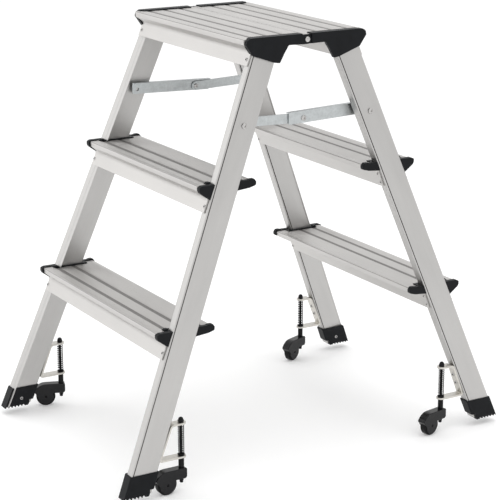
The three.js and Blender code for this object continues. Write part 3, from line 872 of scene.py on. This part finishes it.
def platform_cap_shape(outer_lug):
    """A platform cap with its hinge lug in the outer or the inner half of its plate."""
    low, high = box("front_right_platform_cap")
    x0, x1 = outer_x(PLATFORM_TOP) + GAP, high.x
    middle = (x0 + x1) / 2
    top, nose = high.z, low.y
    tip = low.z
    inner_end = -LUG - LUG_ROOM
    face = rounded([
        (inner_end, top, 0),
        (nose + 10.5, top, 3),
        (nose + 4, top - 3.8, 2.5),
        (nose + 2.5, top - 10, 2.5),
        (nose + 10, top - 20.5, 2),
        (nose + 14.5, top - 26.8, 2),
        (-58, tip + 1.4, 2),
        (-48.6, tip, 2.6),
        (-40.7, tip + 14.4, 2.5),
        (-33, PLATFORM_TOP - 13.4, 3),
        (inner_end, PLATFORM_TOP - 13.9, 0)], 1, 5)
    plate = along_x(face, x0 - 4, x1, 0.9)
    lug_x = (middle + GAP / 2, x1) if outer_lug else (x0, middle - GAP / 2)
    lug = along_x(
        arc((0, HINGE.z), LUG, -90, 90, 16)
        + [(inner_end - 1, HINGE.z + LUG), (inner_end - 1, HINGE.z - LUG)], *lug_x)
    inner = x0 - 10
    flange = up_z(rounded([
        (inner, nose + 14, 4), (x0 + 1, nose + 12, 0), (x0 + 1, -1.6, 0), (inner, -1.6, 2)], 1),
        PLATFORM_TOP + 0.15, top - 0.15)
    knuckle = up_z(rounded(
        rectangle(inner - 3, inner + 7, nose + 31, nose + 40), 3),
        PLATFORM_TOP + 0.15, top, 0.6)
    other_lug = up_z(rectangle(low.x - 5, x1 + 1, inner_end, 60), PLATFORM_TOP - 40, top + 10)
    shape = cut(combined("UNION", plate, flange, knuckle), other_lug)
    shape = combined("UNION", shape, lug)
    nose_room = bent(nose_points(PLATFORM_TOP, PLATFORM_LOW.y)) + [
        (30, PLATFORM_TOP), (30, PLATFORM_TOP - RISER)]
    return cut(
        shape,
        along_x(offset(nose_room, -0.15), 0, PLATFORM_HIGH.x + 0.15),
        along_stile(stile_outline(GAP), PLATFORM_TOP - 60, STILE_HIGH.z + GAP),
        turned(rod(PIN_RADIUS + GAP, -FAR, FAR), (1, 0, 0), (0, 0, HINGE.z), 32))


class LADDER_OT_platform_caps(bpy.types.Operator):
    """Four hinged caps of the platform and the two hinge bolts"""

    bl_idname = "ladder.platform_caps"
    bl_label = "Platform Caps"

    def execute(self, context):
        for corner in CORNERS:
            outer_lug = corner in ("front_right", "back_left")
            add_to_corner(
                corner, "hinged_cap", platform_cap_shape(outer_lug), "black_plastic",
                ["platform_cap"])
        low, high = box("right_hinge_bolt")
        radius = (high.z - low.z) / 2
        inner = low.x + 1.4
        outer = high.x - 2.2
        profile = [
            (0, low.x), (radius - 0.5, low.x), (radius, low.x + 0.5), (radius, inner),
            (PIN_RADIUS, inner), (PIN_RADIUS, outer), (radius, outer), (radius, outer + 0.5)]
        profile += quarter(radius, 1.7, outer + 0.5, 8) + [(0, high.x)]
        for side, body in (("right", "front_frame"), ("left", "back_frame")):
            bolt = turned(profile, (1, 0, 0), (0, 0, HINGE.z), 40)
            add_piece(
                f"{side}_pivot_bolt", bolt, body, "rivet_steel", [f"{side}_hinge_bolt"],
                corner_place(f"front_{side}"))
        return {"FINISHED"}


# ---- feet

TEETH = 7
TOOTH_DEPTH = 3.2
FOOT_WALL = 2
SCREW_HEIGHT = 26


def foot_shape():
    low, high = box("front_right_foot")
    wall, sole, top = FOOT_WALL, low.z, high.z
    x1, y0 = outer_x(PLATFORM_TOP) + wall, front_y(PLATFORM_TOP) - wall
    outline = rounded(rectangle(
        x1 - STILE_WIDTH - 2 * wall, x1, y0, y0 + STILE_LEVEL + 2 * wall), 2.4, 5)
    boot = along_stile(outline, sole, top, 0.6)
    front, back = front_y(sole) - wall, back_y(sole) + wall
    toe = along_x(
        [(back - 7, sole - 1), (back + 9, sole - 1), (back + 9, sole + 10), (back - 3.5, sole + 10),
         (back - 4, sole + 4)], 0, FAR)
    pitch = (back - 6 - front) / TEETH
    gaps = []
    for i in range(1, TEETH):
        y = front + (i - 0.4) * pitch
        gaps.append(along_x(rounded(
            [(y - 3.4, sole - 1, 0), (y + 3.4, sole - 1, 0), (y + 1.1, sole + TOOTH_DEPTH, 0.8),
             (y - 1.1, sole + TOOTH_DEPTH, 0.8)], 1, 3), 0, FAR))
    pocket = along_stile(stile_outline(GAP), STILE_LOW.z - GAP, top + 5)
    return cut(boot, pocket, toe, joined(*gaps))


class LADDER_OT_feet(bpy.types.Operator):
    """Four black boots with a toothed sole"""

    bl_idname = "ladder.feet"
    bl_label = "Feet"

    def execute(self, context):
        for corner in CORNERS:
            add_to_corner(corner, "boot", foot_shape(), "black_plastic", ["foot"])
        return {"FINISHED"}


# ---- rivets

FRONT_OUT = Vector((0, -math.cos(LEAN), math.sin(LEAN)))  # away from the riser's face
BACK_OUT = -FRONT_OUT


def shade_hollows(bm, radius, at, out):
    """Gives the faces close to a rivet's axis the second finish of its piece, a dark colour painted
    for the shade in the rivet's hollow.
    """
    axis = Vector(out).normalized()
    for face in bm.faces:
        away = face.calc_center_median() - Vector(at)
        if (away - away.dot(axis) * axis).length < radius:
            face.material_index = 1
    return bm


def pop_rivet(radius, height, at, out, steps=20):
    """A domed rivet head with the hollow that its mandrel leaves."""
    profile = [
        (0, -0.3), (radius, -0.3), (radius, height * 0.35), (radius * 0.82, height * 0.8),
        (radius * 0.6, height), (radius * 0.52, height * 0.9), (radius * 0.46, height * 0.2),
        (0, height * 0.15)]
    # The hollow's faces are coloured dark: painted shade
    return shade_hollows(turned(profile, out, at, steps), radius * 0.5, at, out)


def tread_rivets(step):
    """The rivets at the front right end of a tread: one in the riser, two in the skirt."""
    top = box(f"front_{step}")[1].z
    off = GAP + size("tread_wall")
    z = top - 31
    rivets = [pop_rivet(2.9, 1.1, (outer_x(z) - 8.5, front_y(z) - off, z), FRONT_OUT)]
    if step != "platform_half":
        for z in (top - 19, top - 33):
            rivets.append(
                pop_rivet(2.6, 1.0, (outer_x(z) - 9, back_y(z) + off, z), BACK_OUT))
    return rivets


class LADDER_OT_rivets(bpy.types.Operator):
    """Rivets of the treads and the screws of the feet"""

    bl_idname = "ladder.rivets"
    bl_label = "Rivets"

    def execute(self, context):
        for corner in CORNERS:
            for step in ("platform_half", "middle_step", "bottom_step"):
                add_to_corner(
                    corner, f"{step}_rivets", joined(*tread_rivets(step)), "rivet_steel")
            z = SCREW_HEIGHT
            at = (outer_x(z) - STILE_WIDTH - FOOT_WALL, (front_y(z) + back_y(z)) / 2, z)
            add_to_corner(
                corner, "foot_screw", pop_rivet(2.8, 1.0, at, (-1, 0, 0)), "rivet_steel")
        return {"FINISHED"}


# ---- folding stays

STAY_HALF = 7.6  # half the height of a strap
STAY_END = 9.5  # long strap past its rivet on the stile
OVERRUN = 26.7  # long strap past the middle rivet
FLANGE_RISE = 9.8  # from the rivets' line up to the flange
LEDGE = 1.8  # thickness of the flange
FLANGE_WIDTH = 7.6
LONG_STRAP = 2.4  # thickness of its plate
STAY_RIVET = 2.6  # radius of the rivets' shanks
STAY_HEAD = 4.4  # radius of their heads
INNER_HEAD = 3.8  # the same on the inside of the straps
SHOULDER = 5.2  # radius of the spacer between strap and stile


def between(start, end, outline):
    """[u, v] points along and above the line between two points, as [y, z]."""
    along = (Vector(end) - Vector(start)).normalized()
    up = Vector((-along.y, along.x))
    return [tuple(Vector(start) + along * u + up * v) for u, v in outline]


def stay_points():
    """The short strap's rivets on its stile and in the middle, as [y, z] at the front right."""
    stile, middle = joint_place("right_stay_stile"), joint_place("right_stay_middle")
    return (stile.y, stile.z), (middle.y, middle.z)


def hole(x, at):
    return turned(rod(STAY_RIVET + GAP, -30, 30), (1, 0, 0), (x, *at), 24)


def short_strap_shape():
    low, high = box("front_right_short_strap")
    stile, middle = stay_points()
    span = (Vector(middle) - Vector(stile)).length
    outline = arc((0, 0), STAY_HALF, 270, 90, 16) + arc((span, 0), STAY_HALF, 90, -90, 16)
    bm = along_x(between(stile, middle, outline), low.x, high.x, 0.4, 2)
    return cut(bm, hole(low.x, stile), hole(low.x, middle))


def long_strap_shape():
    """Mirrored in Y: the long strap starts at the back right corner, here at the front right."""
    low, high = box("back_right_long_strap")
    stile, middle = stay_points()
    middle = (-middle[0], middle[1])
    span = (Vector(middle) - Vector(stile)).length
    end, top = span + OVERRUN, FLANGE_RISE + LEDGE
    plate = along_x(between(stile, middle, rounded([
        (-STAY_END, -STAY_HALF, 3), (-STAY_END, top, 2), (end, top, 0.6), (end, -STAY_HALF, 2)], 1)),
        high.x - LONG_STRAP, high.x, 0.35, 2)
    flange = along_x(between(stile, middle, rectangle(3 - STAY_END, end, FLANGE_RISE, top)),
        high.x - FLANGE_WIDTH, high.x - 0.4, 0.35, 2)
    return cut(combined("UNION", plate, flange), hole(high.x, stile), hole(high.x, middle))


def head(x, out, radius=STAY_HEAD, height=1.8):
    """Half of a rivet's profile: a domed head with a hollow, standing on x."""
    return [
        (radius, x), (radius, x + out * height * 0.3), (radius * 0.85, x + out * height * 0.75),
        (radius * 0.6, x + out * height), (radius * 0.45, x + out * height * 0.85),
        (radius * 0.4, x), (0, x - out * 0.2)]


class LADDER_OT_stays(bpy.types.Operator):
    """Folding stays: two straps a side, with their rivets"""

    bl_idname = "ladder.stays"
    bl_label = "Stays"

    def execute(self, context):
        stile, middle = stay_points()
        for side, start, end in (("right", "front", "back"), ("left", "back", "front")):
            place = corner_place(f"{start}_{side}")
            short, long = f"{side}_short_strap", f"{side}_long_strap"
            add_piece(
                f"{side}_short_stay", short_strap_shape(), short, "zinc_steel",
                [f"{start}_{short}"], place, ALONG_Z)
            add_piece(
                f"{side}_long_stay", long_strap_shape(), long, "zinc_steel",
                [f"{end}_{long}"], corner_place(f"{end}_{side}"), ALONG_Z)
            low, high = box("front_right_short_strap")
            outer = box("back_right_long_strap")[1].x
            profile = (
                head(low.x - GAP, -1, INNER_HEAD)[::-1] + head(outer + GAP, 1))
            add_piece(
                f"{side}_middle_pivot", turned(profile, (1, 0, 0), (0, *middle), 28), short,
                "rivet_steel", [f"{side}_middle_rivet"], place)
            self.stile_rivets(side, start, end, stile, low.x, high.x, outer)
        return {"FINISHED"}

    def stile_rivets(self, side, start, end, at, inner, outer, long_face):
        """The two rivets that carry the straps on their stiles."""
        face = outer_x(at[1])
        out_x = face + STAY_HEAD * SPLAY + GAP
        in_x = face - STILE_WIDTH - SHOULDER * SPLAY - GAP
        shank = [
            (SHOULDER, in_x), (STAY_RIVET, in_x), (STAY_RIVET, out_x)] + head(out_x, 1)
        carrying = head(inner - GAP, -1, INNER_HEAD)[::-1] + [
            (STAY_RIVET, inner - GAP), (STAY_RIVET, outer + GAP), (SHOULDER, outer + GAP)] + shank
        add_piece(
            f"{side}_short_stay_rivet", turned(carrying, (1, 0, 0), (0, *at), 28),
            f"{start}_frame", "rivet_steel", [f"{start}_{side}_short_strap_rivet"],
            corner_place(f"{start}_{side}"))
        facing = [(0, long_face + GAP), (SHOULDER, long_face + GAP)] + shank
        add_piece(
            f"{side}_long_stay_rivet", turned(facing, (1, 0, 0), (0, *at), 28),
            f"{end}_frame", "rivet_steel", [f"{end}_{side}_long_strap_rivet"],
            corner_place(f"{end}_{side}"))


# ---- castor brackets

PIN_LOW, PIN_HIGH = box("front_right_castor_pin")
PIN_AXIS = (PIN_LOW + PIN_HIGH) / 2
STRAP = 3  # thickness of the bracket's strap
PIN_HOLE, STEM_HOLE = 3.6, 5.1  # radii of the holes in its upper and its lower ear
BRACKET_RIVETS = (38, 23)  # above its lower end


def bracket_shape():
    low, high = box("front_right_castor_bracket")
    half = (high.x - low.x) / 2
    end = PIN_AXIS.y + half + 1
    path = rounded([
        (end, low.z),
        (back_y(low.z) + GAP, low.z, 4.5),
        (back_y(high.z) + GAP, high.z, 9),
        (end, high.z)], 1, 8, closed=False)
    strap = along_x(walled(path, STRAP), low.x, high.x, 0.5, 3)
    plan = [
        (low.x - 1, PIN_AXIS.y), (low.x - 1, PIN_AXIS.y - 90), (high.x + 1, PIN_AXIS.y - 90),
        (high.x + 1, PIN_AXIS.y)] + arc((PIN_AXIS.x, PIN_AXIS.y), half, 0, 180, 24)
    at = (PIN_AXIS.x, PIN_AXIS.y, 0)
    return cut(
        combined("INTERSECT", strap, up_z(plan, 0, 200)),
        turned(rod(PIN_HOLE, high.z - 10, high.z + 10), (0, 0, 1), at, 24),
        turned(rod(STEM_HOLE, low.z - 10, low.z + 10), (0, 0, 1), at, 24))


class LADDER_OT_brackets(bpy.types.Operator):
    """Bent steel brackets of the castors, riveted to the stiles"""

    bl_idname = "ladder.brackets"
    bl_label = "Castor Brackets"

    def execute(self, context):
        low, high = box("front_right_castor_bracket")
        for corner in CORNERS:
            add_to_corner(
                corner, "castor_strap", bracket_shape(), "zinc_steel", ["castor_bracket"],
                finishes=[plated("Bracket_plate", "bracket")])
            rivets = [
                pop_rivet(3.3, 1.4, (PIN_AXIS.x, back_y(z) + GAP + STRAP, z), BACK_OUT)
                for z in (low.z + rise for rise in BRACKET_RIVETS)]
            add_to_corner(corner, "castor_rivets", joined(*rivets), "rivet_steel")
        return {"FINISHED"}


# ---- castors

EAR_TOP = box("front_right_castor_bracket")[1].z
STEM = 4.5  # radii of the pin's stretches: over the block, in the spring, below, and the collar
PIN = 2.1
NUB = 3.5
COLLAR = 5.6
BLOCK_TOP = box("front_right_castor_housing")[1].z
BLOCK_LOW = PIN_LOW.z + 8  # the pin's nub shows below the block


def castor_place(corner):
    """Where a castor stands and how it is turned, from its wheel and its pin."""
    pin = sum(box(f"{corner}_castor_pin"), Vector()) / 2
    trail = sum(box(f"{corner}_castor_wheel"), Vector()) / 2 - pin
    return Matrix.Translation((pin.x, pin.y, 0)) @ Matrix.Rotation(
        math.atan2(trail.x, -trail.y), 4, "Z")


def pin_shape():
    """Stem, collar, spring pin and a domed cap nut, on the castor's own axis."""
    spring_foot = box("front_right_castor_spring")[0].z
    collar_low = spring_foot - GAP - 3
    bottom = PIN_LOW.z
    nut = EAR_TOP + GAP
    profile = [
        (0, bottom), (NUB - 1.2, bottom), (NUB - 0.6, bottom + 0.6), (NUB - 0.6, bottom + 3),
        (NUB, bottom + 4), (NUB, BLOCK_LOW - GAP), (PIN, BLOCK_LOW - GAP), (PIN, BLOCK_TOP + GAP),
        (STEM, BLOCK_TOP + GAP), (STEM, collar_low),
        (COLLAR - 0.4, collar_low), (COLLAR, collar_low + 0.4),
        (COLLAR, collar_low + 2), (COLLAR - 1.2, spring_foot - GAP), (PIN, spring_foot - GAP),
        (PIN, nut), (0, nut)]
    shaft = turned(profile, (0, 0, 1), (0, 0, 0), 28)
    hexagon = up_z(arc((0, 0), 4.9, 0, 300, 5), nut, nut + 3.2, 0.35, 2)
    rise = PIN_HIGH.z - nut - 3
    dome = turned(
        [(0, nut + 3), (4.1, nut + 3)] + quarter(4.1, rise, nut + 3, 7) + [(0, PIN_HIGH.z)],
        (0, 0, 1), (0, 0, 0), 28)
    return joined(shaft, combined("UNION", hexagon, dome))


def spring_shape():
    low, high = box("front_right_castor_spring")
    wire = size("wire") / 2
    turns = bpy.context.scene.ladder_sizes.coils
    steps = 20
    radius = (high.x - low.x) / 2 - wire
    rise = (high.z - low.z - 2 * wire) / (turns * steps)
    bm = bmesh.new()
    ring = bmesh.ops.create_circle(bm, cap_ends=True, radius=wire, segments=8)["verts"]
    bmesh.ops.rotate(
        bm, verts=ring, cent=(0, 0, 0), matrix=Matrix.Rotation(math.pi / 2, 3, "X"))
    bmesh.ops.translate(bm, verts=ring, vec=(radius, 0, low.z + wire))
    bmesh.ops.spin(
        bm, geom=bm.verts[:] + bm.edges[:] + bm.faces[:], cent=(0, 0, 0), axis=(0, 0, 1),
        dvec=(0, 0, rise), angle=2 * math.pi * turns, steps=turns * steps)
    return bm


class LADDER_OT_pins(bpy.types.Operator):
    """Castor pins with their collar and cap nut, and the springs round them"""

    bl_idname = "ladder.castor_pins"
    bl_label = "Castor Pins"

    def execute(self, context):
        for corner in CORNERS:
            place = castor_place(corner)
            add_piece(
                f"{corner}_castor_shaft", pin_shape(), f"{corner}_plunger", "black_steel",
                [f"{corner}_castor_pin"], place)
            spring = add_piece(
                f"{corner}_coil_spring", spring_shape(), frame_of(corner), "black_steel",
                [f"{corner}_castor_spring"], place, crease=70)
            low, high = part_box(f"{corner}_castor_spring")
            travel = joint(f"{corner}_spring_travel")["range_m"][1]
            1 - travel / (high.z - low.z)
            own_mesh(spring)
        return {"FINISHED"}


TRAIL = 27  # wheel axle behind the pin
WHEEL = 16.5
WHEEL_HALF = 5.7
STUB = 1.8  # radius of the wheel's own axle
HOOD = BLOCK_TOP - WHEEL
CHEEK = 13.5
BLOCK = 7.5  # half its width
BLOCK_FRONT = 6.5  # from the pin's axis
AXLE = (-TRAIL, WHEEL)


def housing_shape():
    """A stem block, a hood that arches over the wheel and two cheeks, trailing towards -Y."""
    front, low = BLOCK_FRONT, BLOCK_LOW
    rise = math.degrees(math.asin((low - WHEEL) / CHEEK))
    outline = (
        [(front, low + 3), (front, BLOCK_TOP - 2), (front - 0.6, BLOCK_TOP - 0.6),
         (front - 2, BLOCK_TOP)]
        + arc(AXLE, HOOD, 90, 155, 18) + arc(AXLE, CHEEK, 180, 360 + rise, 32)
        + [(front - 2.5, low)])
    body = along_x(outline, -BLOCK, BLOCK, 1.8, 4)
    notch = along_x(
        walled(arc(AXLE, HOOD + 3, 132, 141, 4), 4.6), -BLOCK - 1, BLOCK + 1)
    notch_lip = along_x(
        walled(arc(AXLE, HOOD + 3, 141, 175, 8), 3.9), -BLOCK - 1, BLOCK + 1)
    wheel_room = turned(
        rod(WHEEL + 1, -WHEEL_HALF - 0.35, WHEEL_HALF + 0.35), (1, 0, 0), (0, *AXLE), 64)
    axle_room = turned(rod(STUB + GAP, -FAR, FAR), (1, 0, 0), (0, *AXLE), 24)
    pin_room = turned(rod(PIN + 0.6, 0, 100), (0, 0, 1), (0, 0, 0), 24)
    return cut(body, notch, notch_lip, wheel_room, axle_room, pin_room)


def wheel_shape():
    """A tyre with round shoulders on its own stub axle."""
    shoulder = 2
    rim = [
        (WHEEL - shoulder + shoulder * math.cos(a), WHEEL_HALF - shoulder + shoulder * math.sin(a))
        for a in (math.pi / 2 * i / 5 for i in range(6))]
    face = [(12.2, WHEEL_HALF), (11.6, WHEEL_HALF - 0.7), (4.6, WHEEL_HALF - 0.7),
            (4, WHEEL_HALF), (STUB, WHEEL_HALF), (STUB, BLOCK - 0.6), (1.2, BLOCK), (0, BLOCK)]
    half = rim + face
    profile = [(r, -x) for r, x in half[::-1]] + half
    return turned(profile, (1, 0, 0), (0, *AXLE), 64)


class LADDER_OT_castors(bpy.types.Operator):
    """Castor housings and their wheels"""

    bl_idname = "ladder.castors"
    bl_label = "Castors"

    def execute(self, context):
        for corner in CORNERS:
            place = castor_place(corner)
            add_piece(
                f"{corner}_castor_hood", housing_shape(), f"{corner}_swivel", "gloss_plastic",
                [f"{corner}_castor_housing"], place)
            add_piece(
                f"{corner}_castor_tyre", wheel_shape(), f"{corner}_wheel", "wheel_plastic",
                [f"{corner}_castor_wheel"], place, crease=40)
        return {"FINISHED"}


# ---- stage

CAMERA_AT = (2.40636, -1.42126, 1.08482)
CAMERA_TURN = (74.21507, 0.03667, 59.35961)  # degrees about X, Y and Z
LENS = 125.93
WORLD = 1.0  # strength of the surrounding light
FLOOR_GLOW = 0.12  # keeps the studio floor pale far from the lights
LIGHTS = (  # name, place, aimed at, width and height, power
    ("Key", (-2.6, -2.6, 1.5), (0, 0, 0.35), (2.6, 2.2), 16),
    ("Top", (0.2, 0.2, 3.0), (0, 0, 0.3), (2.4, 2.4), 20),
    ("Fill", (1.6, -3.0, 1.4), (0, 0, 0.35), (1.6, 1.6), 4),
)


class LADDER_OT_stage(bpy.types.Operator):
    """Pale floor, soft light and the camera"""

    bl_idname = "ladder.stage"
    bl_label = "Stage"

    def execute(self, context):
        scene = context.scene
        mesh = bpy.data.meshes.new("Floor")
        bm = bmesh.new()
        bmesh.ops.create_grid(bm, x_segments=1, y_segments=1, size=14)
        bm.to_mesh(mesh)
        bm.free()
        floor = bpy.data.objects.new("Floor", mesh)
        scene.collection.objects.link(floor)
        finish = Finish("Studio_floor")
        grain = finish.node("ShaderNodeTexCoord", {}, {}, "Object")
        soft = finish.noise(grain, 2.0)
        tone = tuple(scene.ladder_colours.floor)
        mesh.materials.append(finish.shaded(
            base_color=finish.mix(soft, tone, tuple(c * 0.99 for c in tone)),
            roughness=0.8, specular_ior_level=0.1, emission_strength=FLOOR_GLOW,
            emission_color=(1, 1, 1, 1)))
        world = bpy.data.worlds.new("Studio")
        world.use_nodes = True
        background = world.node_tree.nodes["Background"]
        background.inputs["Color"].default_value = (1, 1, 1, 1)
        background.inputs["Strength"].default_value = WORLD
        scene.world = world
        for name, place, aim, (wide, high), power in LIGHTS:
            light = bpy.data.lights.new(name, "AREA")
            light.shape, light.size, light.size_y, light.energy = "RECTANGLE", wide, high, power
            lamp = bpy.data.objects.new(name, light)
            lamp.location = place
            lamp.rotation_euler = (
                Vector(aim) - Vector(place)).to_track_quat("-Z", "Y").to_euler()
            scene.collection.objects.link(lamp)
        data = bpy.data.cameras.new("Camera")
        data.sensor_fit, data.sensor_width, data.lens = "AUTO", 36, LENS
        data.clip_start, data.clip_end = 0.05, 60
        camera = bpy.data.objects.new("Camera", data)
        camera.location = CAMERA_AT
        camera.rotation_euler = [math.radians(angle) for angle in CAMERA_TURN]
        scene.collection.objects.link(camera)
        scene.camera = camera
        scene.view_settings.view_transform = "Standard"
        return {"FINISHED"}


# ---- panel and registration


OPERATORS = (
    LADDER_OT_stage, LADDER_OT_stiles, LADDER_OT_treads, LADDER_OT_step_caps,
    LADDER_OT_platform_caps, LADDER_OT_feet, LADDER_OT_rivets, LADDER_OT_stays,
    LADDER_OT_brackets, LADDER_OT_pins, LADDER_OT_castors)


class LADDER_PT_build(bpy.types.Panel):
    """The pieces of the ladder, in the order in which they are built"""

    bl_idname = "LADDER_PT_build"
    bl_label = "Folding Step Ladder"
    bl_space_type = "VIEW_3D"
    bl_region_type = "UI"
    bl_category = "Ladder"

    def draw(self, context):
        for group in (context.scene.ladder_sizes, context.scene.ladder_colours):
            column = self.layout.column()
            for name in group.__annotations__:
                column.prop(group, name)
        for operator in OPERATORS:
            self.layout.operator(operator.bl_idname)


CLASSES = (LadderSizes, LadderColours, *OPERATORS, LADDER_PT_build)


def register():
    for item in CLASSES:
        bpy.utils.register_class(item)
    bpy.types.Scene.ladder_sizes = PointerProperty(type=LadderSizes)
    bpy.types.Scene.ladder_colours = PointerProperty(type=LadderColours)


def unregister():
    del bpy.types.Scene.ladder_colours
    del bpy.types.Scene.ladder_sizes
    for item in reversed(CLASSES):
        bpy.utils.unregister_class(item)


def main():
    register()
    for operator in OPERATORS:
        group, name = operator.bl_idname.split(".")
        getattr(getattr(bpy.ops, group), name)()


if __name__ == "__main__":
    main()
